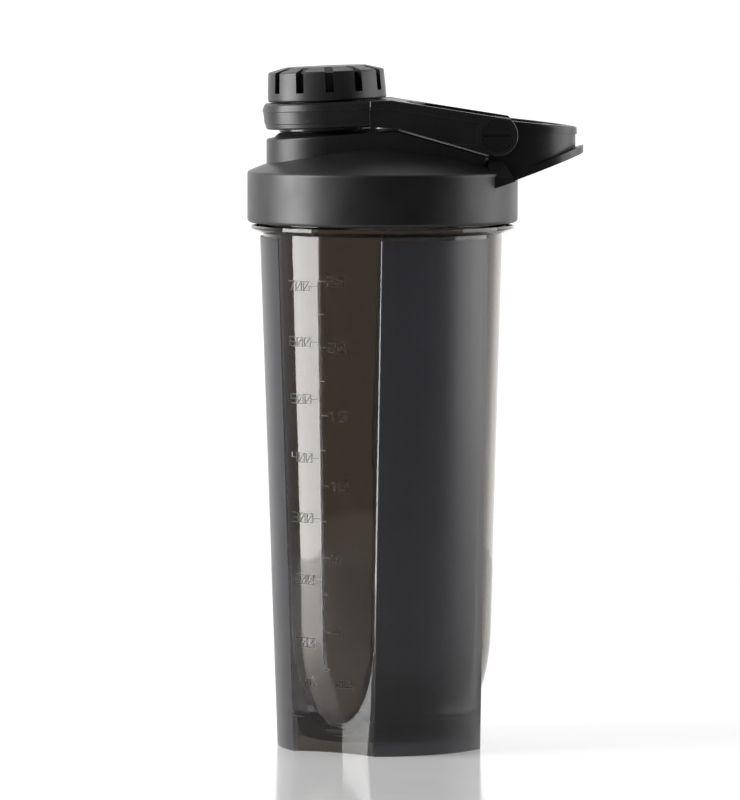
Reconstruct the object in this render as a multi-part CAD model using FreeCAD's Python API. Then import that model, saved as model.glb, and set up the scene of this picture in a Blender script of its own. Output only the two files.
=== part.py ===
import FreeCAD, Part
import math
import os

# Shaker bottle with a screw lid, a drinking spout under a captive twist cap, and a carry loop.
#
# Frame: millimetres, +Z up, origin at the centre of the face the bottle stands on.
# The spout is towards -X and the carry loop towards +X. The body repeats three times around Z:
# a window, a grip panel, a window and so on, with a sharp ridge between neighbours.

V = FreeCAD.Vector
UP = V(0, 0, 1)
ORIGIN = V(0, 0, 0)

# ---------------------------------------------------------------- body of the bottle
body_h = 181.3                 # from the table to the top of the grip panels
ridge_top_r = 42.8             # radius of the ridges at the top of the panels
ridge_taper = 4.5              # how much smaller that radius is at the table
ridge_top_angle = 29.7         # half the angle that a window spans, at the top
ridge_base_angle = 25.3        # the same at the table
panel_top_bulge = 0.7          # middle of a panel, beyond the ridge radius, at the top
panel_base_bulge = -0.8        # the same at the table
ridge_stand = 0.2              # how far the ridges stand proud of the windows at the top
window_taper = 5.08            # how much smaller the windows' radius would be at the table, if straight
window_round_z = 40.0          # height where the windows start to curve inwards
window_round_r = 75.0          # radius of that curve
flute_depth = 7.0              # depth of the hollow under each window, below the ridge radius
wall = 2.0                     # wall of the body
floor_gap = 3.5                # from the table to the underside of the floor
floor_t = 2.2                  # thickness of the floor
floor_fillet = 7.0             # inside corner between floor and wall
foot_wall = 2.2                # wall of the skirt that the bottle stands on
foot_recess_h = 12.0           # height of the hollow inside that skirt

# ---------------------------------------------------------------- neck and screw thread
panel_notch = 0.3              # step in above the top of the panels, from the ridge radius
notch_h = 1.2                  # height of that step
neck_wall = 2.5
neck_h = 20.2                  # from the top of the panels to the rim
collar_inset = 1.2             # the collar's edge lies this far inside the lid's outside
collar_z = 2.9                 # from the top of the panels to the collar's edge
collar_h = 1.2
collar_lift = 1.4              # height of the flare below the collar's edge
collar_flare = 2.5             # how far that flare draws in
neck_edge = 0.5                # slope at the collar's top and the rim's outside
rim_edge = 0.4                 # slope at the rim's inside
thread_pitch = 6.0
thread_depth = 1.5
thread_root_w = 2.8            # width of the thread at its root
thread_crest_w = 1.4           # width of the thread at its crest
thread_start = 9.4             # from the top of the panels to the start of the bottle's thread
bottle_turns = 1.15
lid_turns = 0.9
thread_gap = 0.3               # axial gap between the mating flanks
thread_clearance = 0.4         # radial gap from a crest to the facing wall
thread_sink = 0.4              # how far a thread's root is sunk into its wall

# ---------------------------------------------------------------- lid
lid_wall = 3.0
lid_gap = 5.0                  # from the top of the panels to the lower edge of the lid
skirt_h = 18.0                 # from the lid's lower edge to where the dome meets the side
skirt_edge = 1.3               # rounding at the top and bottom of the skirt
dome_r = 118.0                 # radius of the domed top
dome_t = 2.4
seal_t = 1.4                   # thickness of the sealing ring
seal_gap = 0.1                 # gap above and below it
plug_t = 1.7                   # wall of the inner skirt that centres the lid and holds the grid
plug_clearance = 0.7           # from that skirt to the neck's bore
plug_h = 5.1
tower_inset = 1.6              # the spout tower's walls lie this far inside the cap arm's faces
tower_t = 2.2
tower_edge = 0.8               # rounding of the tower's upper edge
tower_root = 10.0              # how far its walls reach down into the dome, from the dome's apex
tower_front_rise = 1.3         # top of the tower above the dome's apex, at the front
tower_crest_rise = 4.8         # the same where the top is highest
tower_crest_back = 1.9         # from the back of the ring to that crest
tower_back_x = 2.5             # from the back wall of the tower to the hinge axis
tower_back_r = 3.0             # rounding of the back corners of the tower
arm_tower_gap = 0.5            # gap between the tower's sloping top and the cap arm

# ---------------------------------------------------------------- spout, in the cap's own frame
# Heights here are along the cap's axis, counted from the top plane of the ring that holds the cap.
spout_setback = 28.4           # from the lid's outside to the cap's axis
ring_rise = 14.6               # top plane of the ring above the dome's apex, on the cap's axis
cap_tilt = 2.3                 # lean of the cap's axis towards the front, degrees
cone_top_r = 17.6              # cone at the foot of the spout
cone_top = -10.6
cone_drop = 4.6
cone_slope = 1.3               # growth of the cone's radius for each millimetre down
spout_base_r = 13.4
spout_rim_r = 12.2
spout_bore_r = 10.4
spout_top = 7.4
spout_lip = 0.7                # slope at the spout's rim
lug_r = 14.6                   # outside of the two lugs on the spout
lug_h = 2.0
lug_top = -3.6
lug_half_angle = 25.0
lug_gap = 0.5                  # from the spout's lugs to the cap's lugs when the cap is locked

# ---------------------------------------------------------------- twist cap
knob_r = 21.1
knob_top_r = 20.5
knob_flat_r = 14.2             # radius of the flat middle of the knob's top
knob_bottom = 0.4
knob_shoulder = 10.8           # height where the side meets the sloping top
knob_top = 12.4
knob_edge = 0.8
slot_count = 12
slot_w = 3.0
slot_bottom = 3.5
slot_web = 1.3                 # wall left behind a slot
slot_top_depth = 0.4           # depth of a slot where it crosses the knob's sloping top
slot_phase = 3.3               # turn of the slots about the cap's axis, degrees
sleeve_gap = 2.0               # from the foot of the spout to the inside of the sleeve
sleeve_t = 1.2
sleeve_top_t = 1.3
liner_t = 1.0
liner_gap = 0.1
cap_lug_in = 1.65              # how far the cap's lugs stand in from the sleeve
cap_lug_h = 2.2
retainer_t = 1.0
retainer_lap = 1.0             # how far the retainer reaches out past the sleeve
retainer_edge = 0.4
cap_play = 0.1                 # gap between the cap's pieces and the ring

# ---------------------------------------------------------------- cap arm
ring_over_knob = 2.1           # the ring's outside, beyond the knob
ring_h = 9.2
ring_lip_h = 3.0               # height of the upper band of the ring
ring_lip_lean = 0.7            # how much that band draws in towards its top
ring_step = 0.3                # depth of the step under that band
ring_taper = 0.5               # how much the lower band draws in
ring_bead = 2.1                # height of the narrow band at the ring's lower edge
ring_bead_step = 0.25
band_run = 19.0                # how far the ring's bands run back along the arm's sides
band_overlap = 4.0             # how much of that run the arm's plate covers
ring_edge = 0.6
ring_hollow_t = 2.0            # walls left around the hollow under the ring
arm_t = 3.4
arm_edge = 0.6
arm_knee_back = 1.9            # from the back of the ring to the knee of the arm's lower edge
arm_knee_rise = 5.4            # height of that knee above the dome's apex
arm_brow_ahead = 0.9           # from the bend of the arm's upper edge to the back of the ring
yoke_back = 4.9                # from the back of the ring to the back edge of the yoke
yoke_t = 3.0
yoke_drop = 0.1                # step from the arms' upper edge down to the yoke
yoke_corner_r = 14.0

# ---------------------------------------------------------------- hinge
hinge_setback = 7.8            # from the hinge axis in to the lid's outside, along X
hinge_rise = 3.1               # hinge axis above the dome's apex
hub_r = 7.4
hub_flat = 1.0                 # how far the hub's round top is cut down to the arm's upper edge
boss_inset = 1.8               # how much smaller the bosses of the carry loop are
pin_r = 2.5
pin_running = 0.08
pin_head_rim = 1.6             # wall of the hub left around the pin's head
pin_head_t = 1.3
pin_head_gap = 0.12
pin_slot_w = 1.2
pin_slot_depth = 0.5
pin_slot_rim = 1.0             # from the end of that slot to the edge of the head

# ---------------------------------------------------------------- carry loop
cheek_gap = 0.3                # from a cheek to the cap arm beside it
cheek_t = 3.6
loop_reach = 20.9              # from the lid's outside to the end of the loop
loop_lip = 2.3                 # how far the lip at the loop's lower edge stands out
loop_lip_h = 2.7
loop_rim_h = 2.7               # height of the raised band along the loop's upper edge
loop_rim_step = 0.5            # how far that band stands out at the loop's end
loop_edge = 0.9                # rounding of the loop's upper rim
loop_top_rise = 5.6            # upper edge at the loop's end, above the dome's apex
loop_under_drop = 3.5          # lower edge at the loop's end, below the dome's apex
heel_x = 7.4                   # from the hinge axis to the bend of the lower edge
heel_drop = 12.5               # that bend, below the dome's apex
toe_x = -2.6                   # from the hinge axis to the front of the foot
toe_drop = 15.9                # that point, below the dome's apex
foot_half_w = 27.5             # half the width over the two feet
facet_top_rise = -5.5          # top of the sloping face over each foot, from the dome's apex
facet_bottom_rise = -11.3      # its lower edge
facet_top_w = 1.4              # from the cheek's face to the top of that sloping face
facet_front_x = -3.0           # its front end at the top, from the hinge axis
facet_back_x = 1.8             # its back end at the top
facet_toe_x = 6.4              # its back end at the bottom
foot_reach = 12.0              # how far the feet run forward from the hinge axis, into the lid's side

# ---------------------------------------------------------------- mixing grid
grid_clearance = 0.1           # from the grid's wall to the lid's inner skirt
grid_wall = 1.7
grid_lap = 3.0                 # length of the grid's wall held in the lid's inner skirt
grid_drop = 9.0                # from the end of that skirt to the underside of the grid
grid_plate_t = 2.0
grid_hole_w = 6.4              # across the flats of a hole
grid_bar_w = 1.8
grid_rim = 0.6                 # solid rim between the holes and the grid's wall

# ---------------------------------------------------------------- cutters and roots
past = 1.0                     # how far a cutter runs on past the face that it opens
root = 0.5                     # how far a lug is sunk into the wall that carries it

# ---------------------------------------------------------------- sizes that follow
ridge_base_r = ridge_top_r - ridge_taper
window_top_r = ridge_top_r - ridge_stand
bore_r = window_top_r - wall
neck_r = bore_r + neck_wall
lid_bore_r = neck_r + thread_depth + thread_clearance
lid_r = lid_bore_r + lid_wall
collar_r = lid_r - collar_inset
neck_top = body_h + neck_h
lid_bottom = body_h + lid_gap
skirt_top = lid_bottom + skirt_h
seal_land = neck_top + seal_t + 2 * seal_gap
plug_r = bore_r - plug_clearance
plug_bottom = seal_land - plug_h

dome_centre_z = skirt_top - math.sqrt(dome_r ** 2 - lid_r ** 2)
apex = dome_centre_z + dome_r

hinge_x = lid_r - hinge_setback
hinge_z = apex + hinge_rise
spout_x = spout_setback - lid_r
ring_top_z = apex + ring_rise

sleeve_in_r = spout_base_r + sleeve_gap
sleeve_r = sleeve_in_r + sleeve_t
ring_bore_r = sleeve_r + cap_play
ring_r = knob_r + ring_over_knob
ring_back_x = spout_x + ring_r
brow_x = ring_back_x - arm_brow_ahead
knee_x = ring_back_x + arm_knee_back
yoke_x = ring_back_x + yoke_back
liner_bottom = spout_top + liner_gap
sleeve_ceiling = liner_bottom + liner_t
knob_ceiling = sleeve_ceiling + sleeve_top_t
retainer_top = -ring_h - cap_play

tower_half_w = ring_r - tower_inset
tower_low = apex - tower_root
boss_r = hub_r - boss_inset
pin_head_r = hub_r - pin_head_rim
cheek_y = ring_r - arm_t - cheek_gap
loop_end_x = lid_r + loop_reach
grid_r = plug_r - plug_t - grid_clearance
grid_top = plug_bottom + grid_lap
grid_bottom = plug_bottom - grid_drop

cap_place = FreeCAD.Placement(V(spout_x, 0, ring_top_z), FreeCAD.Rotation(V(0, 1, 0), -cap_tilt))


# ---------------------------------------------------------------- shape helpers
def face_of(points):
    return Part.Face(Part.makePolygon(points + [points[0]]))


def revolved(profile):
    """A solid of revolution about Z from (radius, height) corners."""
    return face_of([V(r, 0, z) for r, z in profile]).revolve(ORIGIN, UP, 360)


def disc(radius, low, high):
    return Part.makeCylinder(radius, high - low, V(0, 0, low))


def tube(outer, inner, low, high):
    return disc(outer, low, high).cut(disc(inner, low, high))


def side_prism(outline, y0, y1):
    """A prism along Y over (x, z) corners."""
    return face_of([V(x, y0, z) for x, z in outline]).extrude(V(0, y1 - y0, 0))


def cross_cylinder(radius, x, z, y0, y1):
    return Part.makeCylinder(radius, y1 - y0, V(x, y0, z), V(0, 1, 0))


def sector(outer, inner, low, high, centre_angle, half_angle):
    """A piece of a tube, spanning half_angle degrees each side of centre_angle."""
    start = FreeCAD.Rotation(UP, centre_angle - half_angle)
    profile = [V(inner, 0, low), V(outer, 0, low), V(outer, 0, high), V(inner, 0, high)]
    return face_of([start.multVec(p) for p in profile]).revolve(ORIGIN, UP, 2 * half_angle)


def fuse_all(shapes):
    return shapes[0].multiFuse(shapes[1:]).removeSplitter() if len(shapes) > 1 else shapes[0]


def on_cap_axis(shape):
    placed = shape.copy()
    placed.Placement = cap_place.multiply(placed.Placement)
    return placed


def polar(radius, degrees, z):
    angle = math.radians(degrees)
    return V(radius * math.cos(angle), radius * math.sin(angle), z)


def rounded(shape, radius, chosen):
    """The shape with a fillet on each edge that chosen(edge) picks."""
    return shape.makeFillet(radius, [edge for edge in shape.Edges if chosen(edge)])


def lies_at(low, high):
    """Picks the closed edges whose whole length lies between two heights."""
    return lambda edge: edge.Closed and edge.BoundBox.ZMin > low and edge.BoundBox.ZMax < high


def is_upright(edge):
    box = edge.BoundBox
    return box.XLength + box.YLength < 0.01


def lies_on_face(y):
    """Picks the edges that lie wholly in the plane of one Y."""
    return lambda edge: abs(edge.BoundBox.YMin - y) < 0.01 and abs(edge.BoundBox.YMax - y) < 0.01


def thread(radius, outward, z, turns, width_root, width_crest):
    """A right-handed helical ridge standing out of (or into) a wall of the given radius."""
    root = radius - outward * thread_sink
    crest = radius + outward * thread_depth
    sink_w = thread_sink * (width_root - width_crest) / (2 * thread_depth)
    half_root = width_root / 2 + sink_w
    half_crest = width_crest / 2
    corners = [V(root, 0, z - half_root), V(root, 0, z + half_root)]
    corners += [V(crest, 0, z + half_crest), V(crest, 0, z - half_crest)]
    path = Part.makeHelix(thread_pitch, thread_pitch * turns, radius)
    path.translate(V(0, 0, z))
    profile = Part.makePolygon(corners + [corners[0]])
    return Part.Wire(path).makePipeShell([profile], True, True)


def tangent_point(x, z, radius, upper):
    """Where the line from (x, z) touches a circle about the hinge axis, on its upper or lower side."""
    dx, dz = x - hinge_x, z - hinge_z
    away = math.hypot(dx, dz)
    spread = math.acos(radius / away)
    facing = math.atan2(dz, dx)
    options = [facing + spread, facing - spread]
    angle = max(options, key=lambda a: math.sin(a) if upper else -math.sin(a))
    return hinge_x + radius * math.cos(angle), hinge_z + radius * math.sin(angle)


# ---------------------------------------------------------------- bottle
def window_r(z):
    return window_top_r - window_taper * (1 - z / body_h)


def window_curve(inset):
    """Centre and radius of the arc that draws the window's outline in, inset by a wall."""
    lean = math.atan(window_taper / body_h)
    centre_r = window_r(window_round_z) - window_round_r * math.cos(lean)
    centre_z = window_round_z + window_round_r * math.sin(lean)
    return centre_r, centre_z, window_round_r - inset


def barrel(inset, bottom):
    """The round inner body, whose side is the windows' surface, set in by a wall."""
    centre_r, centre_z, radius = window_curve(inset)
    lean = math.atan(window_taper / body_h)
    turn_low = math.asin((bottom - centre_z) / radius)
    turn_mid = (turn_low - lean) / 2

    def at(turn):
        return V(centre_r + radius * math.cos(turn), 0, centre_z + radius * math.sin(turn))

    low, mid, high = at(turn_low), at(turn_mid), at(-lean)
    top = V(window_r(body_h) - inset / math.cos(lean), 0, body_h)
    edges = [
        Part.LineSegment(V(0, 0, bottom), low).toShape(),
        Part.Arc(low, mid, high).toShape(),
        Part.LineSegment(high, top).toShape(),
        Part.LineSegment(top, V(0, 0, body_h)).toShape(),
        Part.LineSegment(V(0, 0, body_h), V(0, 0, bottom)).toShape(),
    ]
    return Part.Face(Part.Wire(edges)).revolve(ORIGIN, UP, 360)


def outline(share, inset):
    """The panelled outline at a share of the body's height: hollows on 0, 120, 240, panels between."""
    z = body_h * share
    ridge = ridge_base_r + (ridge_top_r - ridge_base_r) * share - inset
    bulge = panel_base_bulge + (panel_top_bulge - panel_base_bulge) * share
    half = ridge_base_angle + (ridge_top_angle - ridge_base_angle) * share
    arcs = []
    for k in range(3):
        middle = 120 * k
        left, right = polar(ridge, middle - half, z), polar(ridge, middle + half, z)
        following = polar(ridge, middle + 120 - half, z)
        arcs.append(Part.Arc(left, polar(ridge - flute_depth, middle, z), right).toShape())
        arcs.append(Part.Arc(right, polar(ridge + bulge, middle + 60, z), following).toShape())
    return Part.Wire(arcs)


def panelled(share, inset):
    """The panelled solid from the table up to a share of the body's height."""
    return Part.makeLoft([outline(0, inset), outline(share, inset)], True, True)


def neck():
    collar_low = body_h + collar_z - collar_lift
    collar_high = body_h + collar_z + collar_h
    notch_r = ridge_top_r - panel_notch
    profile = [(bore_r, body_h), (notch_r, body_h), (notch_r, body_h + notch_h)]
    profile += [(collar_r - collar_flare, collar_low), (collar_r, body_h + collar_z)]
    profile += [(collar_r, collar_high), (neck_r, collar_high + neck_edge)]
    profile += [(neck_r, neck_top - neck_edge), (neck_r - neck_edge, neck_top)]
    profile += [(bore_r + rim_edge, neck_top), (bore_r, neck_top - rim_edge)]
    return revolved(profile)


def build_bottle():
    barrel_outside = barrel(0, floor_gap)
    cavity = barrel(wall, floor_gap + floor_t)
    cavity = rounded(cavity, floor_fillet, lies_at(floor_gap, floor_gap + floor_t + 0.1))
    foot_hollow = panelled(foot_recess_h / body_h, foot_wall).cut(barrel_outside)
    body = panelled(1, 0).fuse(barrel_outside)
    ridge = thread(neck_r, 1, body_h + thread_start, bottle_turns, thread_root_w, thread_crest_w)
    body = fuse_all([body, neck(), ridge])
    return body.cut(cavity).cut(disc(bore_r, body_h - past, neck_top + past)).cut(foot_hollow)


# ---------------------------------------------------------------- lid
def dome(radius, low, outer_r):
    """The part of a ball about the dome's centre that lies over z = low, inside outer_r."""
    ball = Part.makeSphere(radius, V(0, 0, dome_centre_z))
    return ball.common(disc(outer_r, low, apex + past))


def lid_outside():
    """The skirt and the dome as one filled solid, with both rims rounded."""
    rims = lies_at(lid_bottom - past, skirt_top + past)
    return rounded(dome(dome_r, lid_bottom, lid_r), skirt_edge, rims)


def tower_plan(inset, low, high):
    """Round at the front about the cap's axis, straight sides, rounded corners at the back."""
    half = tower_half_w - inset
    back = hinge_x - tower_back_x - inset
    corner = tower_back_r - inset
    front = disc(half, low, high)
    front.translate(V(spout_x, 0, 0))
    straight = Part.makeBox(back - corner - spout_x, 2 * half, high - low, V(spout_x, -half, low))
    middle = Part.makeBox(back - spout_x, 2 * (half - corner), high - low, V(spout_x, corner - half, low))
    corners = []
    for side in (-1, 1):
        corners.append(disc(corner, low, high))
        corners[-1].translate(V(back - corner, side * (half - corner), 0))
    return fuse_all([front, straight, middle] + corners)


def tower(inset, low):
    """The raised housing of the spout, under a top that rises to a crest and falls to the hinge."""
    front_x = spout_x - tower_half_w
    crest_x = ring_back_x + tower_crest_back
    crest_z = apex + tower_crest_rise
    touch_x, touch_z = tangent_point(crest_x, crest_z, hub_r + arm_tower_gap, False)
    fall = (touch_z - crest_z) / (touch_x - crest_x)
    back_z = crest_z + fall * (hinge_x - crest_x)
    top = [(front_x - past, apex + tower_front_rise), (crest_x, crest_z), (hinge_x, back_z)]
    corners = [(x, z - inset) for x, z in top] + [(hinge_x, low), (front_x - past, low)]
    block = tower_plan(inset, low, crest_z + past).common(side_prism(corners, -ring_r, ring_r))
    return rounded(block, tower_edge, lambda edge: edge.BoundBox.ZMin > low + past and not is_upright(edge))


def spout_cone():
    low = cone_top - cone_drop
    foot_r = cone_top_r + cone_slope * cone_drop
    cone = on_cap_axis(revolved([(0, low), (foot_r, low), (cone_top_r, cone_top), (0, cone_top)]))
    return cone.common(tower_plan(0, tower_low, ring_top_z))


def spout():
    """The drinking spout with its two lugs, in the cap's frame."""
    low = cone_top - past
    profile = [(0, low), (spout_base_r, low), (spout_base_r, cone_top)]
    profile += [(spout_rim_r, spout_top - spout_lip), (spout_rim_r - spout_lip, spout_top), (0, spout_top)]
    lugs = []
    for side in (0, 180):
        lugs.append(sector(lug_r, spout_rim_r - root, lug_top - lug_h, lug_top, side, lug_half_angle))
    return on_cap_axis(fuse_all([revolved(profile)] + lugs))


def build_lid():
    ceiling_r = plug_r - plug_t
    shell = fuse_all([lid_outside(), tower(0, tower_low), spout_cone(), spout()])
    shell = shell.cut(disc(lid_bore_r, lid_bottom - past, plug_bottom))
    shell = shell.cut(tube(lid_bore_r, plug_r, lid_bottom, seal_land))
    shell = shell.cut(dome(dome_r - dome_t, lid_bottom, ceiling_r))
    shell = shell.cut(tower(tower_t, tower_low).common(disc(ceiling_r, tower_low, ring_top_z)))
    shell = shell.cut(on_cap_axis(disc(spout_bore_r, cone_top - cone_drop - past, spout_top + past)))
    start = body_h + thread_start - (thread_root_w + thread_crest_w) / 2 - thread_gap
    ridge = thread(lid_bore_r, -1, start, lid_turns, thread_root_w, thread_crest_w)
    return fuse_all([shell, ridge])


def build_seal():
    low = neck_top + seal_gap
    return tube(neck_r, plug_r + seal_gap, low, low + seal_t)


# ---------------------------------------------------------------- twist cap
def slot_cutter():
    """One slot of the knob: down the side, then shallow across the sloping top."""
    back = sleeve_r + slot_web
    far = knob_r + past
    high = knob_top + past
    profile = [(back, slot_bottom), (far, slot_bottom), (far, high), (knob_flat_r, high)]
    profile += [(knob_flat_r, knob_top), (back, knob_shoulder - slot_top_depth)]
    half = slot_w / 2
    return face_of([V(r, -half, z) for r, z in profile]).extrude(V(0, slot_w, 0))


def build_knob():
    profile = [(0, knob_ceiling), (sleeve_r, knob_ceiling), (sleeve_r, knob_bottom)]
    profile += [(knob_r, knob_bottom), (knob_top_r, knob_shoulder), (knob_flat_r, knob_top), (0, knob_top)]
    knob = rounded(revolved(profile), knob_edge, lambda edge: edge.BoundBox.YMax > sleeve_r + slot_web)
    for k in range(slot_count):
        cutter = slot_cutter()
        cutter.rotate(ORIGIN, UP, -90 + slot_phase + k * 360 / slot_count)
        knob = knob.cut(cutter)
    return on_cap_axis(knob)


def build_sleeve():
    profile = [(sleeve_in_r, retainer_top), (sleeve_r, retainer_top), (sleeve_r, knob_ceiling)]
    profile += [(0, knob_ceiling), (0, sleeve_ceiling), (sleeve_in_r, sleeve_ceiling)]
    top = lug_top - lug_h - lug_gap
    lugs = []
    for side in (90, 270):
        inner = sleeve_in_r - cap_lug_in
        lugs.append(sector(sleeve_in_r + root, inner, top - cap_lug_h, top, side, lug_half_angle))
    return on_cap_axis(fuse_all([revolved(profile)] + lugs))


def build_liner():
    return on_cap_axis(disc(sleeve_in_r - liner_gap, liner_bottom, sleeve_ceiling))


def build_retainer():
    low = retainer_top - retainer_t
    outer = sleeve_r + retainer_lap
    profile = [(sleeve_in_r, low), (outer - retainer_edge, low), (outer, low + retainer_edge)]
    profile += [(outer, retainer_top), (sleeve_in_r, retainer_top)]
    return on_cap_axis(revolved(profile))


# ---------------------------------------------------------------- cap arm
def ring_half_profile():
    """Half of the ring's outline, from the middle of its top round to the middle of its underside."""
    lip = -ring_lip_h
    band_r = ring_r - ring_step
    bead = ring_bead - ring_h
    bead_r = band_r - ring_taper * (bead - lip) / (-ring_h - lip)
    foot_r = band_r - ring_taper - ring_bead_step
    top_r = ring_r - ring_lip_lean
    return [(0, 0), (top_r - ring_edge, 0), (top_r, -ring_edge), (ring_r, lip + ring_step),
            (band_r, lip), (bead_r, bead), (bead_r - ring_bead_step, bead - ring_bead_step),
            (foot_r, ring_edge - ring_h), (foot_r - ring_edge, -ring_h), (0, -ring_h)]


def ring_outside():
    """The ring, filled, with its bands running straight back on both sides."""
    profile = ring_half_profile()
    front = revolved(profile)
    across = profile + [(-r, z) for r, z in reversed(profile[1:-1])]
    back = face_of([V(0, y, z) for y, z in across]).extrude(V(band_run, 0, 0))
    return on_cap_axis(front.fuse(back).removeSplitter())


def ring_plane_z(x):
    """Height of the ring's top plane at an x."""
    return ring_top_z + (x - spout_x) * math.tan(math.radians(cap_tilt))


def arm_top(x):
    """The point of the arms' upper edge at an x, anywhere behind the bend where it leaves the ring."""
    brow_z = ring_plane_z(brow_x)
    touch_x, touch_z = tangent_point(brow_x, brow_z, hub_r - hub_flat, True)
    return x, brow_z + (touch_z - brow_z) / (touch_x - brow_x) * (x - brow_x)


def arm_side(side):
    """One side arm, from the back of the ring's bands to its round hub, its outer edges rounded."""
    start = spout_x + band_run - band_overlap
    top_z = ring_plane_z(start)
    brow, over_hub, end = [arm_top(x) for x in (brow_x, hinge_x, hinge_x + hub_r)]
    knee = (knee_x, apex + arm_knee_rise)
    shape = [(start, top_z), brow, over_hub, (hinge_x, hinge_z), tangent_point(*knee, hub_r, False)]
    shape += [knee, (start, top_z - ring_h)]
    y0 = ring_r - arm_t if side > 0 else -ring_r
    above = side_prism([brow, end, (end[0], brow[1])], y0, y0 + arm_t)
    hub = cross_cylinder(hub_r, hinge_x, hinge_z, y0, y0 + arm_t).cut(above)
    plate = rounded(side_prism(shape, y0, y0 + arm_t).fuse(hub).removeSplitter(), arm_edge,
                    lies_on_face(side * ring_r))
    return plate.cut(arm_recess(side, start - past))


def arm_recess(side, start):
    """The shallow step in an arm's outer face, under a lip that carries on the ring's upper band."""
    edge = [(start, ring_plane_z(start)), arm_top(brow_x), arm_top(hinge_x)]
    corners = [(x, z - ring_lip_h) for x, z in edge] + [(hinge_x, apex), (start, apex)]
    y0 = ring_r - ring_step if side > 0 else -ring_r - past
    y1 = y0 + ring_step + past
    return side_prism(corners, y0, y1).cut(cross_cylinder(hub_r, hinge_x, hinge_z, y0, y1))


def yoke():
    """The web behind the ring, level with the ring's top and then falling with the arms."""
    top = [(spout_x, ring_top_z), arm_top(brow_x), arm_top(yoke_x + yoke_corner_r)]
    under = [(x, z - yoke_t) for x, z in reversed(top)]
    half = ring_r - arm_t / 2
    return side_prism([(x, z - yoke_drop) for x, z in top + under], -half, half)


def yoke_opening():
    """The round-cornered gap between the side arms."""
    back = yoke_x - spout_x
    inner = ring_r - arm_t
    low, high = -3 * ring_h, ring_h
    reach = hinge_x - spout_x + 2 * hub_r - back
    parts = [Part.makeBox(reach, 2 * (inner - yoke_corner_r), high - low, V(back, yoke_corner_r - inner, low))]
    parts.append(Part.makeBox(reach, 2 * inner, high - low, V(back + yoke_corner_r, -inner, low)))
    for side in (-1, 1):
        corner = disc(yoke_corner_r, low, high)
        corner.translate(V(back + yoke_corner_r, side * (inner - yoke_corner_r), 0))
        parts.append(corner)
    return on_cap_axis(fuse_all(parts))


def ring_hollow():
    """The hollow moulded under the ring and the yoke, around the wall of the ring's bore."""
    low, high = -ring_h - past, -yoke_t - yoke_drop
    half = ring_r - arm_t - yoke_drop
    plan = disc(half, low, high).fuse(Part.makeBox(3 * band_run, 2 * half, high - low, V(0, -half, low)))
    return on_cap_axis(plan.cut(disc(ring_bore_r + ring_hollow_t, low, high)))


def build_arm():
    arm = fuse_all([ring_outside(), yoke(), arm_side(-1), arm_side(1)])
    arm = arm.cut(on_cap_axis(disc(ring_bore_r, -ring_h - past, past)))
    arm = arm.cut(ring_hollow()).cut(yoke_opening())
    for side in (-1, 1):
        pin = hinge_pin(side, pin_r + pin_running, pin_head_r + pin_head_gap, pin_head_t + pin_running)
        arm = arm.cut(pin)
    return arm


# ---------------------------------------------------------------- hinge pins
def hinge_pin(side, shaft_r, head_r, head_t):
    """A plain stepped pin from a cheek's inner face out to the arm's outer face."""
    inner = cheek_y - cheek_t
    shaft = cross_cylinder(shaft_r, hinge_x, hinge_z, inner, ring_r)
    head = cross_cylinder(head_r, hinge_x, hinge_z, ring_r - head_t, ring_r)
    pin = shaft.fuse(head).removeSplitter()
    return pin if side > 0 else pin.mirror(ORIGIN, V(0, 1, 0))


def build_pin(side):
    slot_l = 2 * (pin_head_r - pin_slot_rim)
    face_y = ring_r - pin_slot_depth if side > 0 else -ring_r - past
    corner = V(hinge_x - slot_l / 2, face_y, hinge_z - pin_slot_w / 2)
    slot = Part.makeBox(slot_l, past + pin_slot_depth, pin_slot_w, corner)
    return hinge_pin(side, pin_r, pin_head_r, pin_head_t).cut(slot)


# ---------------------------------------------------------------- carry loop
def loop_plan(half, end_x, low, high):
    """A U in plan: straight cheeks and a round end."""
    round_end = disc(half, low, high)
    round_end.translate(V(end_x - half, 0, 0))
    start = hinge_x - boss_r - past
    return fuse_all([round_end, Part.makeBox(end_x - half - start, 2 * half, high - low, V(start, -half, low))])


def lower_edge():
    toe = (hinge_x + toe_x, apex - toe_drop)
    heel = (hinge_x + heel_x, apex - heel_drop)
    end = (loop_end_x + loop_lip, apex - loop_under_drop)
    return toe, heel, end


def rim_top(x):
    """Height of the loop's upper edge, on the line from the bosses' tops to the loop's end."""
    touch = tangent_point(loop_end_x, apex + loop_top_rise, boss_r, True)
    fall = (apex + loop_top_rise - touch[1]) / (loop_end_x - touch[0])
    return touch[1] + fall * (x - touch[0])


def loop_side(band):
    """The loop's side view: the whole of it, or only the lip or the rim along its edges."""
    toe, heel, end = lower_edge()
    rise = (end[1] - heel[1]) / (end[0] - heel[0])
    far = (end[0] + past, end[1] + past * rise)
    if band == "lip":
        above = [(x, z + loop_lip_h) for x, z in (far, heel)]
        return side_prism([heel, far] + above, -ring_r, ring_r)
    touch = tangent_point(loop_end_x, apex + loop_top_rise, boss_r, True)
    above = (far[0], rim_top(far[0]))
    if band == "rim":
        return side_prism([(x, z - loop_rim_h) for x, z in (touch, above)] + [above, touch], -ring_r, ring_r)
    corners = [toe, heel, far, above, touch, (hinge_x, hinge_z), (toe[0], hinge_z - boss_r / 2)]
    boss = cross_cylinder(boss_r, hinge_x, hinge_z, -ring_r, ring_r)
    return side_prism(corners, -ring_r, ring_r).fuse(boss).removeSplitter()


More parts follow.
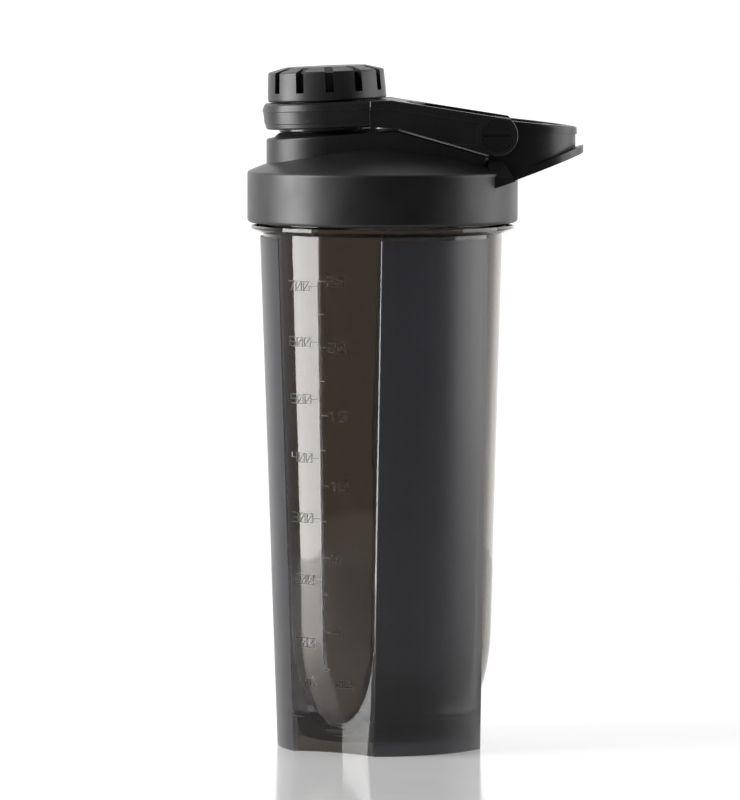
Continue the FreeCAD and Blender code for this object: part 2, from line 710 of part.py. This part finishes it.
def foot(side):
    """One foot with its sloping face, running from the cheek out to the side of the skirt."""
    inner = cheek_y - cheek_t / 2
    low = apex - toe_drop - past
    top = apex + facet_top_rise
    section = [(inner, low), (foot_half_w, low), (foot_half_w, apex + facet_bottom_rise)]
    section += [(cheek_y + facet_top_w, top), (inner, top)]
    start = hinge_x - foot_reach
    block = face_of([V(start, side * y, z) for y, z in section]).extrude(V(loop_end_x - start, 0, 0))
    toe, heel, _ = lower_edge()
    front = hinge_x + facet_front_x
    rise = (heel[1] - toe[1]) / (heel[0] - toe[0])
    bottom_x = hinge_x + facet_toe_x
    bottom_z = toe[1] + rise * (bottom_x - toe[0])
    corners = [(front, top), (hinge_x + facet_back_x, top), (bottom_x, bottom_z), toe]
    corners += [(start, toe[1]), (start, skirt_top - past), (front, skirt_top - past)]
    return block.common(side_prism(corners, -foot_half_w - past, foot_half_w + past))


def runs_along_rim(edge):
    """Picks the edges that lie in the loop's sloping top, not those across its wall."""
    box = edge.BoundBox
    return box.XLength > loop_edge and box.ZMin > rim_top(box.XMax) - loop_edge


def build_loop():
    low, high = apex - toe_drop - past, hinge_z + boss_r + past
    wall_x = loop_end_x - loop_rim_step
    band = loop_plan(cheek_y, wall_x, low, high).common(loop_side("whole"))
    rim = loop_plan(cheek_y, loop_end_x, low, high).common(loop_side("rim"))
    lip = loop_plan(cheek_y, loop_end_x + loop_lip, low, high).common(loop_side("lip"))
    loop = fuse_all([band, rim, lip]).cut(loop_plan(cheek_y - cheek_t, wall_x - cheek_t, low, high))
    loop = rounded(loop, loop_edge, runs_along_rim)
    loop = fuse_all([loop, foot(1), foot(-1)])
    loop = loop.cut(lid_outside()).cut(tower(0, tower_low))
    for side in (-1, 1):
        loop = loop.cut(hinge_pin(side, pin_r, pin_r, pin_head_t))
    return loop


# ---------------------------------------------------------------- mixing grid
def build_grid():
    """A shallow cup whose floor is a grid of six-sided holes."""
    cup = disc(grid_r, grid_bottom, grid_top)
    cup = cup.cut(disc(grid_r - grid_wall, grid_bottom + grid_plate_t, grid_top + past))
    spacing = grid_hole_w + grid_bar_w
    corner_r = grid_hole_w / math.sqrt(3)
    hexagon = [polar(corner_r, 30 + 60 * k, grid_bottom - past) for k in range(6)]
    cutter = face_of(hexagon).extrude(V(0, 0, grid_plate_t + 2 * past))
    limit = grid_r - grid_wall - corner_r - grid_rim
    rows = math.ceil(2 * limit / spacing)
    holes = []
    for row in range(-rows, rows + 1):
        for column in range(-rows, rows + 1):
            x = spacing * (column + row / 2)
            y = spacing * row * math.sqrt(3) / 2
            if math.hypot(x, y) <= limit:
                hole = cutter.copy()
                hole.translate(V(x, y, 0))
                holes.append(hole)
    return cup.cut(Part.makeCompound(holes))


def main():
    nodes = {
        "bottle_body": build_bottle(),
        "lid_shell": build_lid(),
        "lid_seal_ring": build_seal(),
        "mixing_grid": build_grid(),
        "carry_loop": build_loop(),
        "cap_arm": build_arm(),
        "cap_knob": build_knob(),
        "cap_sleeve": build_sleeve(),
        "cap_liner": build_liner(),
        "cap_retainer": build_retainer(),
        "hinge_pin_left": build_pin(-1),
        "hinge_pin_right": build_pin(1),
    }
    os.makedirs("parts", exist_ok=True)
    for name, shape in nodes.items():
        solids = len(shape.Solids)
        print(f"{name}: valid {shape.isValid()}, solids {solids}, volume {shape.Volume / 1000:.2f} cm3")
        shape.exportStep(f"parts/{name}.step")


main()
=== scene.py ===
import logging
import math
from dataclasses import dataclass, field
from enum import Enum

import bmesh
import bpy
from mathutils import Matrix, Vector


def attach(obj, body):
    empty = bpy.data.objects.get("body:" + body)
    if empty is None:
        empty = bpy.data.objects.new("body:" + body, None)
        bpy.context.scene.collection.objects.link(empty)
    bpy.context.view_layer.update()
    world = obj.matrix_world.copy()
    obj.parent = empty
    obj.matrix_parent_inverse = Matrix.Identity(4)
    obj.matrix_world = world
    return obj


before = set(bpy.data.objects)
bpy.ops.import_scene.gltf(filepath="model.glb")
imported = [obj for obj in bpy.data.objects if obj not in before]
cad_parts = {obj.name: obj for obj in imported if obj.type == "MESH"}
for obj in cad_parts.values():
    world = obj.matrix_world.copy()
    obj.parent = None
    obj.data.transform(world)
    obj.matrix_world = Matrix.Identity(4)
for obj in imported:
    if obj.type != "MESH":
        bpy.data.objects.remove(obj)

log = logging.getLogger("shaker_bottle")
MM = 0.001
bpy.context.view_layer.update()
NOISE_LOW = 0.3
NOISE_HIGH = 0.7
Colour = tuple[float, float, float, float]
Corner = tuple[float, float]


def grey(value: float) -> Colour:
    """A neutral colour of one value."""
    return (value, value, value, 1.0)


# ------------------------------------------------------------------ node tree helpers
class Tree:
    """A thin wrapper that adds and links the nodes of one shader node tree."""

    def __init__(self, tree: bpy.types.NodeTree) -> None:
        """Wrap an existing tree."""
        self.tree = tree

    def add(self, kind: str, inputs: dict | None = None, **settings: object) -> bpy.types.Node:
        """Add one node.

        Args:
            kind: The node's Blender type name without the ShaderNode prefix.
            inputs: Values or output sockets for its inputs, by name or index.
            settings: Attributes of the node itself, such as operation.

        Returns:
            The new node.
        """
        node = self.tree.nodes.new(f"ShaderNode{kind}")
        for name, value in settings.items():
            setattr(node, name, value)
        for key, value in (inputs or {}).items():
            self.feed(node, key, value)
        return node

    def feed(self, node: bpy.types.Node, key: str | int, value: object) -> None:
        """Set an input of a node, or link a socket to it.

        Args:
            node: The node that takes the value.
            key: The input's name or index.
            value: A plain value or an output socket.
        """
        if isinstance(value, bpy.types.NodeSocket):
            self.tree.links.new(value, node.inputs[key])
        else:
            node.inputs[key].default_value = value

    def math(self, operation: str, *values: object, clamp: bool = False) -> bpy.types.NodeSocket:
        """Add a Math node.

        Args:
            operation: The node's operation, such as ADD.
            values: Its inputs in order, numbers or sockets.
            clamp: Whether the result is held between 0 and 1.

        Returns:
            The result's socket.
        """
        return self.add("Math", dict(enumerate(values)), operation=operation, use_clamp=clamp).outputs[0]

    def blend(self, share: object, first: object, second: object) -> bpy.types.NodeSocket:
        """Mix two colours.

        Args:
            share: How much of the second colour shows, from 0 to 1.
            first: A colour or a socket.
            second: A colour or a socket.

        Returns:
            The mixed colour's socket.
        """
        return self.add("Mix", {0: share, 6: first, 7: second}, data_type="RGBA").outputs[2]

    def spread(self, value: object, start: Corner, end: Corner) -> bpy.types.NodeSocket:
        """Map a range of values to another, held at its ends.

        Args:
            value: The socket to map.
            start: An input value and the result there.
            end: Another input value and the result there.

        Returns:
            The mapped value's socket.
        """
        return self.add("MapRange", {0: value, 1: start[0], 2: end[0], 3: start[1], 4: end[1]}).outputs[0]

    def from_noise(self, value: object, low: float, high: float) -> bpy.types.NodeSocket:
        """Map the usual range of a noise to two values, held at its ends.

        Args:
            value: The noise's socket.
            low: The result where the noise is low.
            high: The result where it is high.

        Returns:
            The mapped value's socket.
        """
        return self.spread(value, (NOISE_LOW, low), (NOISE_HIGH, high))

    def position(self) -> bpy.types.NodeSocket:
        """The surface point in the bottle's own frame."""
        return self.add("TexCoord").outputs["Object"]


class SurfaceGroup:
    """A shader node group with named inputs and outputs, built once and shared."""

    name = "surface_group"
    inputs: dict[str, float] = {}
    outputs: tuple[str, ...] = ()

    def __init__(self) -> None:
        """Build the group's tree and sockets."""
        self.group = bpy.data.node_groups.new(self.name, "ShaderNodeTree")
        for label, value in self.inputs.items():
            socket = self.group.interface.new_socket(label, in_out="INPUT", socket_type="NodeSocketFloat")
            socket.default_value = value
        for label in self.outputs:
            self.group.interface.new_socket(label, in_out="OUTPUT", socket_type="NodeSocketFloat")
        source = self.group.nodes.new("NodeGroupInput")
        sink = self.group.nodes.new("NodeGroupOutput")
        for label, socket in self.build(Tree(self.group), source.outputs).items():
            self.group.links.new(socket, sink.inputs[label])

    def build(self, tree: Tree, given: bpy.types.bpy_prop_collection) -> dict[str, bpy.types.NodeSocket]:
        """Fill the tree.

        Args:
            tree: The group's own tree.
            given: The sockets of its inputs, by name.

        Returns:
            A socket for each of the group's outputs, by name.
        """
        raise NotImplementedError

    def place(self, tree: Tree, **values: float) -> bpy.types.bpy_prop_collection:
        """Add the group to a material.

        Args:
            tree: The material's tree.
            values: The group's inputs, with spaces written as underscores.

        Returns:
            The group's output sockets, by name.
        """
        node = tree.tree.nodes.new("ShaderNodeGroup")
        node.node_tree = self.group
        for label, value in values.items():
            node.inputs[label.replace("_", " ")].default_value = value
        return node.outputs


class MouldGrain(SurfaceGroup):
    """The fine matt texture that a sparked mould leaves, with a slow mottle under it."""

    name = "mould_grain"
    inputs = {"Grain per metre": 2600.0, "Mottle per metre": 90.0, "Flow per metre": 24.0}
    outputs = ("Height", "Mottle", "Flow")
    flow_draw = (1.0, 1.0, 0.12)

    def build(self, tree: Tree, given: bpy.types.bpy_prop_collection) -> dict[str, bpy.types.NodeSocket]:
        """Make a fine noise for the height, a slow one for the mottle and upright streaks for the flow.

        Args:
            tree: The group's own tree.
            given: The sockets of its inputs, by name.

        Returns:
            The sockets of Height, Mottle and Flow.
        """
        place = tree.position()
        fine = tree.add("TexNoise", {"Vector": place, "Scale": given["Grain per metre"], "Detail": 3.0})
        slow = tree.add("TexNoise", {"Vector": place, "Scale": given["Mottle per metre"], "Detail": 4.0})
        drawn = tree.add("VectorMath", {0: place, 1: self.flow_draw}, operation="MULTIPLY").outputs[0]
        flow = tree.add("TexNoise", {"Vector": drawn, "Scale": given["Flow per metre"], "Detail": 2.0})
        return {"Height": fine.outputs[0], "Mottle": slow.outputs[0], "Flow": flow.outputs[0]}


class HandledWear(SurfaceGroup):
    """Edges rubbed by handling, and a thin scatter of dust specks."""

    name = "handled_wear"
    inputs = {"Edge width": 0.0005, "Specks per metre": 420.0, "Speck size": 0.1}
    outputs = ("Edge", "Speck")
    flat = 0.995
    sharp = 0.86
    breaks_per_metre = 420.0
    least_wear = 0.25
    clean_share = 0.93

    def build(self, tree: Tree, given: bpy.types.bpy_prop_collection) -> dict[str, bpy.types.NodeSocket]:
        """Compare a softened normal with the true one for edges, and keep a few small cells as specks.

        Args:
            tree: The group's own tree.
            given: The sockets of its inputs, by name.

        Returns:
            The sockets of Edge and Speck.
        """
        place = tree.position()
        soft = tree.add("Bevel", {"Radius": given["Edge width"]}, samples=4).outputs[0]
        true = tree.add("NewGeometry").outputs["Normal"]
        same = tree.add("VectorMath", {0: soft, 1: true}, operation="DOT_PRODUCT").outputs["Value"]
        breaks = {"Vector": place, "Scale": self.breaks_per_metre, "Detail": 3.0}
        broken = tree.add("TexNoise", breaks).outputs[0]
        edge = tree.math("MULTIPLY", tree.spread(same, (self.flat, 0.0), (self.sharp, 1.0)),
                         tree.spread(broken, (0.35, self.least_wear), (0.6, 1.0)))
        cell = tree.add("TexVoronoi", {"Vector": place, "Scale": given["Specks per metre"]}).outputs
        near = tree.math("LESS_THAN", cell["Distance"], given["Speck size"])
        chosen = tree.math("GREATER_THAN", tree.add("SeparateColor", {0: cell["Color"]}).outputs[0],
                           self.clean_share)
        return {"Edge": edge, "Speck": tree.math("MULTIPLY", near, chosen)}


# ------------------------------------------------------------------ finishes
@dataclass(frozen=True)
class Finish:
    """A procedural material. Each kind of finish fills in its own nodes."""

    name: str
    grain: MouldGrain
    wear: HandledWear

    def fill(self, tree: Tree, shader: bpy.types.Node) -> None:
        """Add this finish's nodes.

        Args:
            tree: The material's tree.
            shader: Its Principled shader, already linked to the output.
        """
        raise NotImplementedError

    def material(self) -> bpy.types.Material:
        """Make a material with this finish's nodes.

        Returns:
            The new material.
        """
        made = bpy.data.materials.new(self.name)
        made.use_nodes = True
        made.node_tree.nodes.clear()
        tree = Tree(made.node_tree)
        shader = tree.add("BsdfPrincipled")
        tree.add("OutputMaterial", {"Surface": shader.outputs[0]})
        self.fill(tree, shader)
        return made


@dataclass(frozen=True)
class MouldedPlastic(Finish):
    """Opaque moulded plastic with a fine matt grain, rubbed edges and a little dust."""

    colour: Colour = (0.0075, 0.0075, 0.0078, 1.0)
    worn: Colour = (0.028, 0.028, 0.029, 1.0)
    dust: Colour = (0.12, 0.12, 0.115, 1.0)
    roughness: float = 0.41
    roughness_spread: float = 0.05
    grain_depth: float = 0.00001
    grain_strength: float = 0.5
    dust_share: float = 0.35
    wear_share: float = 0.7
    wear_polish: float = 0.06
    dust_matt: float = 0.5

    def fill(self, tree: Tree, shader: bpy.types.Node) -> None:
        """Lighten the colour by wear and dust, and vary the roughness with the mottle.

        Args:
            tree: The material's tree.
            shader: Its Principled shader.
        """
        grain = self.grain.place(tree)
        wear = self.wear.place(tree)
        speck = tree.math("MULTIPLY", wear["Speck"], self.dust_share)
        colour = tree.blend(tree.math("MULTIPLY", wear["Edge"], self.wear_share), self.colour, self.worn)
        tree.feed(shader, "Base Color", tree.blend(speck, colour, self.dust))
        rough = tree.from_noise(grain["Mottle"], self.roughness - self.roughness_spread,
                                self.roughness + self.roughness_spread)
        rough = tree.math("SUBTRACT", rough, tree.math("MULTIPLY", wear["Edge"], self.wear_polish))
        dusty = tree.math("MULTIPLY", speck, self.dust_matt)
        tree.feed(shader, "Roughness", tree.math("ADD", rough, dusty, clamp=True))
        bump = tree.add("Bump", {"Height": grain["Height"], "Distance": self.grain_depth,
                                 "Strength": self.grain_strength})
        tree.feed(shader, "Normal", bump.outputs[0])


@dataclass(frozen=True)
class SmokePlastic(Finish):
    """See-through smoke plastic: clear windows between finely frosted grip panels."""

    window_tint: Colour = (0.19, 0.165, 0.14, 1.0)
    panel_tint: Colour = (0.125, 0.122, 0.14, 1.0)
    window_roughness: float = 0.03
    panel_roughness: float = 0.33
    window_base_deg: float = 25.3
    window_top_deg: float = 29.7
    mask_blur_deg: float = 0.3
    panel_top: float = 181.3 * MM
    grain_per_metre: float = 1500.0
    mottle_per_metre: float = 60.0
    cloud: Colour = grey(0.12)
    cloud_share: float = 0.16
    roughness_spread: float = 0.03
    dust_matt: float = 0.2
    grain_depth: float = 0.00001
    grain_strength: float = 0.4
    index: float = 1.5

    def window_mask(self, tree: Tree) -> bpy.types.NodeSocket:
        """1 on the windows and the neck, 0 on the grip panels, from the direction around Z.

        Args:
            tree: The material's tree.

        Returns:
            The mask's socket.
        """
        x, y, z = tree.add("SeparateXYZ", {0: tree.position()}).outputs
        turn = tree.math("DEGREES", tree.math("ARCTAN2", y, x))
        off = tree.math("PINGPONG", turn, 60.0)
        half = tree.spread(z, (0.0, self.window_base_deg), (self.panel_top, self.window_top_deg))
        blur = self.mask_blur_deg
        inside = tree.spread(tree.math("SUBTRACT", half, off), (-blur, 0.0), (blur, 1.0))
        return tree.math("MAXIMUM", inside, tree.math("GREATER_THAN", z, self.panel_top))

    def fill(self, tree: Tree, shader: bpy.types.Node) -> None:
        """Tint what goes through, frost the panels and let the melt's flow cloud the tint a little.

        Args:
            tree: The material's tree.
            shader: Its Principled shader.
        """
        grain = self.grain.place(tree, Grain_per_metre=self.grain_per_metre,
                                 Mottle_per_metre=self.mottle_per_metre)
        wear = self.wear.place(tree)
        window = self.window_mask(tree)
        tint = tree.blend(window, self.panel_tint, self.window_tint)
        clouded = tree.from_noise(grain["Flow"], 0.0, self.cloud_share)
        tree.feed(shader, "Base Color", tree.blend(clouded, tint, self.cloud))
        rough = tree.spread(window, (0.0, self.panel_roughness), (1.0, self.window_roughness))
        rough = tree.math("ADD", rough, tree.from_noise(grain["Mottle"], 0.0, self.roughness_spread))
        dusty = tree.math("MULTIPLY", wear["Speck"], self.dust_matt)
        tree.feed(shader, "Roughness", tree.math("ADD", rough, dusty, clamp=True))
        height = tree.math("MULTIPLY", grain["Height"], tree.spread(window, (0.0, 1.0), (1.0, 0.0)))
        bump = tree.add("Bump", {"Height": height, "Distance": self.grain_depth,
                                 "Strength": self.grain_strength})
        tree.feed(shader, "Normal", bump.outputs[0])
        shader.inputs["Transmission Weight"].default_value = 1.0
        shader.inputs["IOR"].default_value = self.index


@dataclass(frozen=True)
class PaleFloor(Finish):
    """A pale acrylic light table with a soft sheen and a little light of its own."""

    glow: float = 0.17
    darker: Colour = grey(0.42)
    lighter: Colour = grey(0.46)
    glossier: float = 0.12
    duller: float = 0.16
    mottle_per_metre: float = 12.0

    def fill(self, tree: Tree, shader: bpy.types.Node) -> None:
        """Let a faint mottle vary the colour and the gloss, and add the glow.

        Args:
            tree: The material's tree.
            shader: Its Principled shader.
        """
        grain = self.grain.place(tree, Mottle_per_metre=self.mottle_per_metre)
        shade = tree.from_noise(grain["Mottle"], 0.0, 1.0)
        tree.feed(shader, "Base Color", tree.blend(shade, self.darker, self.lighter))
        tree.feed(shader, "Roughness", tree.from_noise(grain["Mottle"], self.glossier, self.duller))
        shader.inputs["Emission Color"].default_value = grey(1.0)
        shader.inputs["Emission Strength"].default_value = self.glow


# ------------------------------------------------------------------ studio
@dataclass
class Softbox:
    """One rectangular lamp that faces the bottle."""

    name: str
    place: tuple[float, float, float]
    size: tuple[float, float]
    radiance: float
    target: tuple[float, float, float] = (0.0, 0.0, 0.13)

    def build(self) -> None:
        """Add the lamp, unseen by the camera itself."""
        data = bpy.data.lights.new(self.name, "AREA")
        data.shape = "RECTANGLE"
        data.size, data.size_y = self.size
        data.energy = self.radiance * math.pi * self.size[0] * self.size[1]
        made = bpy.data.objects.new(self.name, data)
        made.location = self.place
        made.rotation_euler = (Vector(self.target) - Vector(self.place)).to_track_quat("-Z", "Y").to_euler()
        made.visible_camera = False
        bpy.context.scene.collection.objects.link(made)


@dataclass
class Studio:
    """The light table, the camera, the sky and the lamps."""

    grain: MouldGrain
    wear: HandledWear
    table_r: float = 0.62
    table_sides: int = 128
    lens: float = 280.35
    sensor: float = 36.0
    camera_place: tuple[float, float, float] = (-0.00446, -2.21, 0.289)
    tilt_down: float = 4.3
    sky_seen: float = 1.15
    sky_behind: float = 1.35
    sky_before: float = 0.07
    sky_turn: Corner = (0.1, 0.8)
    lamps: list[Softbox] = field(default_factory=lambda: [
        Softbox("left", (-0.41, -0.09, 0.27), (0.26, 0.6), 10.0),
        Softbox("right", (0.58, 0.04, 0.3), (0.5, 0.6), 2.7),
    ])

    def camera(self) -> None:
        """A long lens, a little above the lid, looking slightly down."""
        data = bpy.data.cameras.new("camera")
        data.lens = self.lens
        data.sensor_width = self.sensor
        made = bpy.data.objects.new("camera", data)
        made.location = self.camera_place
        made.rotation_euler = (math.radians(90.0 - self.tilt_down), 0.0, 0.0)
        bpy.context.scene.collection.objects.link(made)
        bpy.context.scene.camera = made

    def sky(self) -> None:
        """White where it is seen directly; as light, bright behind the bottle and dim before it."""
        world = bpy.data.worlds.new("studio")
        bpy.context.scene.world = world
        world.use_nodes = True
        tree = Tree(world.node_tree)
        back = world.node_tree.nodes["Background"]
        along = tree.add("SeparateXYZ", {0: tree.add("TexCoord").outputs["Generated"]}).outputs[1]
        near, far = self.sky_turn
        light = tree.spread(along, (near, self.sky_before), (far, self.sky_behind))
        seen = tree.add("LightPath").outputs["Is Camera Ray"]
        strength = tree.add("Mix", {0: seen, 2: light, 3: self.sky_seen}, data_type="FLOAT").outputs[0]
        tree.feed(back, "Strength", strength)
        back.inputs[0].default_value = grey(1.0)

    def table(self) -> None:
        """The round light table that the bottle stands on."""
        work = bmesh.new()
        bmesh.ops.create_circle(work, cap_ends=True, segments=self.table_sides, radius=self.table_r)
        mesh = bpy.data.meshes.new("light_table")
        work.to_mesh(mesh)
        work.free()
        made = bpy.data.objects.new("light_table", mesh)
        mesh.materials.append(PaleFloor("pale_floor", self.grain, self.wear).material())
        bpy.context.scene.collection.objects.link(made)

    def build(self) -> None:
        """Set up everything around the bottle."""
        bpy.context.scene.view_settings.view_transform = "Standard"
        self.camera()
        self.sky()
        self.table()
        for lamp in self.lamps:
            lamp.build()


# ------------------------------------------------------------------ the object's own parts
def dress(node: str, finish: Finish) -> None:
    """Give a CAD node one finish.

    Args:
        node: The node's name.
        finish: The finish that it takes.
    """
    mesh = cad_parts[node].data
    mesh.materials.clear()
    mesh.materials.append(finish.material())
    log.info("dressed %s in %s", node, finish.name)


class Unit(Enum):
    """The two units on the body's scale, with the side of the spine that each stands on."""

    MILLILITRES = -1
    OUNCES = 1


@dataclass
class Scale:
    """The raised scale on the front-left window: a spine, ticks and squared figures."""

    spine_deg: float = 237.5
    stroke: float = 0.28 * MM
    spine_w: float = 0.55 * MM
    stand: float = 0.16 * MM
    sink: float = 0.05 * MM
    crest_share: float = 0.7
    figure_w: float = 2.7 * MM
    figure_h: float = 3.2 * MM
    figure_pitch: float = 3.6 * MM
    tick: float = 3.0 * MM
    minor_tick: float = 1.8 * MM
    figure_gap: float = 0.8 * MM
    top_volume: float = 700.0
    top_z: float = 165.2 * MM
    first_gap: float = 19.6 * MM
    gap_growth: float = 0.55 * MM
    volume_step: float = 100.0
    spine_foot: float = 60.0
    unit_foot: float = 40.0
    ounce: float = 29.57
    top_ounces: int = 24
    ounce_step: int = 2
    figured_ounces: int = 4
    window_top_r: float = 42.6 * MM
    window_slope: float = 0.02802
    body_h: float = 181.3 * MM
    curve_z: float = 42.1 * MM
    curve_r: float = 75.0 * MM
    step: float = 0.7 * MM

    def radius(self, z: float) -> float:
        """Work out the radius of the window's surface.

        Args:
            z: The height.

        Returns:
            The radius there.
        """
        straight = self.window_top_r - self.window_slope * (self.body_h - max(z, self.curve_z))
        if z >= self.curve_z:
            return straight
        return straight - self.curve_r + math.sqrt(self.curve_r ** 2 - (self.curve_z - z) ** 2)

    def height(self, volume: float) -> float:
        """Work out the height of a mark; the marks spread a little towards the narrower foot.

        Args:
            volume: The volume in millilitres.

        Returns:
            The height of its mark.
        """
        steps = (self.top_volume - volume) / self.volume_step
        return self.top_z - self.first_gap * steps - self.gap_growth * steps * (steps - 1) / 2

    def strokes(self, sign: str) -> list[tuple[Corner, Corner]]:
        """The straight strokes of a figure or letter on a unit square.

        Args:
            sign: One figure, or a lower-case letter of the units.

        Returns:
            Pairs of end points, from (0, 0) at the lower left to (1, 1) at the upper right.
        """
        a, b, c, d, e, f = (0, 0), (1, 0), (0, 0.5), (1, 0.5), (0, 1), (1, 1)
        known = {
            "0": [(a, b), (b, f), (f, e), (e, a), (a, f)],
            "1": [((0.5, 0), (0.5, 1)), ((0.15, 0.8), (0.5, 1))],
            "2": [(e, f), (f, d), (d, c), (c, a), (a, b)],
            "3": [(e, f), (c, d), (a, b), (b, f)],
            "4": [(e, c), (c, d), (b, f)],
            "5": [(f, e), (e, c), (c, d), (d, b), (b, a)],
            "6": [(f, e), (e, a), (a, b), (b, d), (d, c)],
            "7": [(e, f), (f, (0.4, 0))],
            "8": [(a, b), (b, f), (f, e), (e, a), (c, d)],
            "m": [(a, (0, 0.6)), ((0, 0.6), (1, 0.6)), ((0.5, 0), (0.5, 0.6)), (b, (1, 0.6))],
            "l": [((0.3, 0), (0.3, 1)), ((0.3, 0), (0.6, 0))],
            "o": [(a, b), (b, (1, 0.6)), ((1, 0.6), (0, 0.6)), ((0, 0.6), a)],
            "z": [((0, 0.6), (1, 0.6)), ((1, 0.6), a), (a, b)],
        }
        return known[sign]

    def bar(self, work: bmesh.types.BMesh, start: Corner, end: Corner, width: float = 0.0) -> None:
        """Lay one stroke on the window, bent to its surface.

        Args:
            work: The mesh under construction.
            start: Arc length from the spine and height of its start.
            end: The same of its end.
            width: Its width, or 0 for the width of the figures' strokes.
        """
        along = Vector((end[0] - start[0], end[1] - start[1]))
        length = along.length
        along.normalize()
        across = Vector((-along.y, along.x)) * (width or self.stroke) / 2
        start_at = Vector(start) - along * self.stroke / 2
        length += self.stroke
        count = max(1, round(length / self.step))
        rings = []
        for k in range(count + 1):
            mid = start_at + along * (length * k / count)
            ring = []
            for side, lift in ((-1, -self.sink), (-1, self.stand), (1, self.stand), (1, -self.sink)):
                spot = mid + across * side * (1.0 if lift < 0 else self.crest_share)
                radius = self.radius(spot.y)
                turn = math.radians(self.spine_deg) + spot.x / radius
                ring.append(work.verts.new(((radius + lift) * math.cos(turn),
                                            (radius + lift) * math.sin(turn), spot.y)))
            rings.append(ring)
        for one, two in zip(rings, rings[1:]):
            for k in range(4):
                work.faces.new((one[k], one[(k + 1) % 4], two[(k + 1) % 4], two[k]))
        work.faces.new(rings[0][::-1])
        work.faces.new(rings[-1])

    def word(self, work: bmesh.types.BMesh, text: str, unit: Unit, z: float) -> None:
        """Set a short row of figures or letters beside a tick.

        Args:
            work: The mesh under construction.
            text: The figures or letters.
            unit: The side of the spine that they stand on.
            z: The height of their middle.
        """
        near = self.tick + self.figure_gap
        width = self.figure_pitch * (len(text) - 1) + self.figure_w
        left = near if unit is Unit.OUNCES else -near - width
        for k, sign in enumerate(text):
            for start, end in self.strokes(sign):
                ends = [(left + k * self.figure_pitch + x * self.figure_w, z + (y - 0.5) * self.figure_h)
                        for x, y in (start, end)]
                self.bar(work, *ends)

    def mark(self, work: bmesh.types.BMesh, unit: Unit, z: float, length: float) -> None:
        """Lay one tick from the spine out to one side.

        Args:
            work: The mesh under construction.
            unit: The side of the spine that it points to.
            z: Its height.
            length: Its length from the middle of the spine.
        """
        self.bar(work, (unit.value * self.stroke / 2, z), (unit.value * length, z))

    def build(self, finish: Finish) -> None:
        """Make the scale as one piece on the bottle.

        Args:
            finish: The finish that it takes.
        """
        work = bmesh.new()
        for step in range(round(self.top_volume / self.volume_step)):
            volume = self.top_volume - step * self.volume_step
            z = self.height(volume)
            self.mark(work, Unit.MILLILITRES, z, self.tick)
            self.word(work, f"{volume:.0f}", Unit.MILLILITRES, z)
        for ounces in range(self.top_ounces, 0, -self.ounce_step):
            z = self.height(ounces * self.ounce)
            figured = ounces % self.figured_ounces == 0
            self.mark(work, Unit.OUNCES, z, self.tick if figured else self.minor_tick)
            if figured:
                self.word(work, str(ounces), Unit.OUNCES, z)
        self.word(work, "ml", Unit.MILLILITRES, self.height(self.unit_foot))
        self.word(work, "oz", Unit.OUNCES, self.height(self.unit_foot))
        foot = (0.0, self.height(self.spine_foot))
        self.bar(work, foot, (0.0, self.height(self.top_ounces * self.ounce)), self.spine_w)
        bmesh.ops.recalc_face_normals(work, faces=work.faces)
        mesh = bpy.data.meshes.new("scale_marks")
        work.to_mesh(mesh)
        work.free()
        mesh.materials.append(finish.material())
        made = bpy.data.objects.new("scale_marks", mesh)
        bpy.context.scene.collection.objects.link(made)
        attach(made, "bottle")
        log.info("built scale_marks with %d faces", len(mesh.polygons))


@dataclass
class Bottle:
    """The see-through body and the scale on its window."""

    smoke: SmokePlastic
    marks: SmokePlastic
    scale: Scale = field(default_factory=Scale)

    def build(self) -> None:
        """Dress the body and add the scale."""
        dress("bottle_body", self.smoke)
        self.scale.build(self.marks)


@dataclass
class Lid:
    """The screw lid with its seal, carry loop, hinge pins and mixing grid."""

    shell: Finish
    loop: Finish
    pins: Finish
    seal: Finish
    grid: Finish

    def build(self) -> None:
        """Dress each piece that stays with the lid."""
        dress("lid_shell", self.shell)
        dress("carry_loop", self.loop)
        dress("hinge_pin_left", self.pins)
        dress("hinge_pin_right", self.pins)
        dress("lid_seal_ring", self.seal)
        dress("mixing_grid", self.grid)


@dataclass
class TwistCap:
    """The cap arm and the cap that turns in its ring."""

    arm: Finish
    knob: Finish
    sleeve: Finish
    liner: Finish
    retainer: Finish

    def build(self) -> None:
        """Dress each piece of the cap and its arm."""
        dress("cap_arm", self.arm)
        dress("cap_knob", self.knob)
        dress("cap_sleeve", self.sleeve)
        dress("cap_liner", self.liner)
        dress("cap_retainer", self.retainer)


def main() -> None:
    """Build the studio, then dress and detail every piece in order."""
    logging.basicConfig(level=logging.INFO, format="%(message)s")
    surface = {"grain": MouldGrain(), "wear": HandledWear()}
    Studio(**surface).build()
    Bottle(
        smoke=SmokePlastic("smoke_body", **surface),
        marks=SmokePlastic("smoke_marks", **surface, window_tint=grey(0.5), window_roughness=0.3),
    ).build()
    rubber = MouldedPlastic("silicone_seal", **surface, colour=grey(0.012), roughness=0.55)
    Lid(
        shell=MouldedPlastic("lid_satin", **surface),
        loop=MouldedPlastic("loop_satin", **surface, roughness=0.36),
        pins=MouldedPlastic("pin_satin", **surface, roughness=0.3),
        seal=rubber,
        grid=MouldedPlastic("grid_satin", **surface, colour=grey(0.012), roughness=0.42),
    ).build()
    TwistCap(
        arm=MouldedPlastic("arm_satin", **surface, worn=grey(0.055), roughness=0.38),
        knob=MouldedPlastic("knob_satin", **surface, colour=grey(0.011), worn=grey(0.05), roughness=0.42),
        sleeve=MouldedPlastic("sleeve_satin", **surface),
        liner=rubber,
        retainer=MouldedPlastic("retainer_gloss", **surface, colour=grey(0.02), roughness=0.2),
    ).build()


if __name__ == "__main__":
    main()
